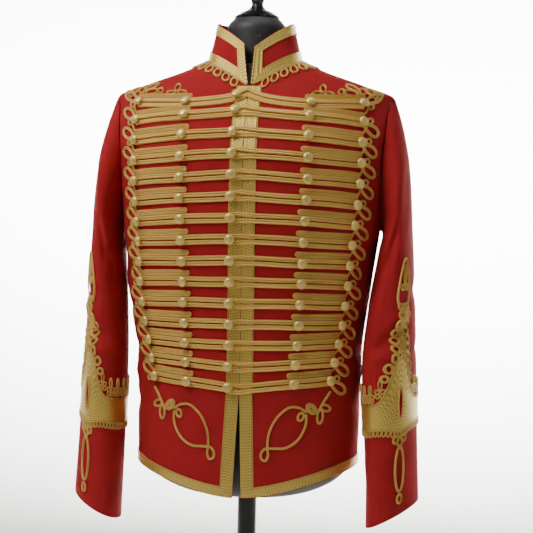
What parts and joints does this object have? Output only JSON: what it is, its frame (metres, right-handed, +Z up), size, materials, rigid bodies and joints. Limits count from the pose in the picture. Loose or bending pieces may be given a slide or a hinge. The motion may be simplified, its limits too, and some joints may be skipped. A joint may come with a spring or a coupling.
{
  "type": "hussar jacket on a limbless dress form",
  "caption": "Waist-length stand-collar military jacket with rows of braid and buttons, worn by a limbless dress form on a pole and round foot.",
  "frame": {"origin": "on the pole's axis at the underside of the round foot, on the floor", "axes": "+Z up along the pole, the jacket's front faces -Y, the wearer's left is +X"},
  "size_m": [0.5104, 0.38, 1.262],
  "materials": {
    "scarlet_broadcloth": "matt felted wool with a short nap",
    "gold_russia_braid": "metallic gold cord, satin",
    "gold_bullion_lace": "woven metallic lace, satin",
    "black_satin_cover": "smooth stretched black satin jersey",
    "black_painted_iron": "gloss black"
  },
  "bodies": {
    "root": {"front_right": "scarlet_broadcloth", "sleeve_top_right": "scarlet_broadcloth", "sleeve_under_right": "scarlet_broadcloth", "front_edge_lace_right": "gold_bullion_lace", "hem_lace_right": "gold_bullion_lace", "collar_lace_right": "gold_bullion_lace", "cuff_lace_right": "gold_bullion_lace", "side_loops_right": "gold_russia_braid", "hem_knot_right": "gold_russia_braid", "sleeve_knot_right": "gold_russia_braid", "cuff_drop_right": "gold_russia_braid", "braid_row_01_right": "gold_russia_braid", "braid_row_02_right": "gold_russia_braid", "braid_row_03_right": "gold_russia_braid", "braid_row_04_right": "gold_russia_braid", "braid_row_05_right": "gold_russia_braid", "braid_row_06_right": "gold_russia_braid", "braid_row_07_right": "gold_russia_braid", "braid_row_08_right": "gold_russia_braid", "braid_row_09_right": "gold_russia_braid", "braid_row_10_right": "gold_russia_braid", "braid_row_11_right": "gold_russia_braid", "braid_row_12_right": "gold_russia_braid", "braid_row_13_right": "gold_russia_braid", "braid_row_14_right": "gold_russia_braid", "braid_row_15_right": "gold_russia_braid", "front_left": "scarlet_broadcloth", "sleeve_top_left": "scarlet_broadcloth", "sleeve_under_left": "scarlet_broadcloth", "front_edge_lace_left": "gold_bullion_lace", "hem_lace_left": "gold_bullion_lace", "collar_lace_left": "gold_bullion_lace", "cuff_lace_left": "gold_bullion_lace", "side_loops_left": "gold_russia_braid", "hem_knot_left": "gold_russia_braid", "sleeve_knot_left": "gold_russia_braid", "cuff_drop_left": "gold_russia_braid", "braid_row_01_left": "gold_russia_braid", "braid_row_02_left": "gold_russia_braid", "braid_row_03_left": "gold_russia_braid", "braid_row_04_left": "gold_russia_braid", "braid_row_05_left": "gold_russia_braid", "braid_row_06_left": "gold_russia_braid", "braid_row_07_left": "gold_russia_braid", "braid_row_08_left": "gold_russia_braid", "braid_row_09_left": "gold_russia_braid", "braid_row_10_left": "gold_russia_braid", "braid_row_11_left": "gold_russia_braid", "braid_row_12_left": "gold_russia_braid", "braid_row_13_left": "gold_russia_braid", "braid_row_14_left": "gold_russia_braid", "braid_row_15_left": "gold_russia_braid", "back": "scarlet_broadcloth", "collar": "scarlet_broadcloth", "hem_lace_back": "gold_bullion_lace", "neck_loops": "gold_russia_braid", "form_trunk": "black_satin_cover", "cap_and_finial": "black_painted_iron", "pole": "black_painted_iron", "foot": "black_painted_iron"}
  },
  "joints": []
}
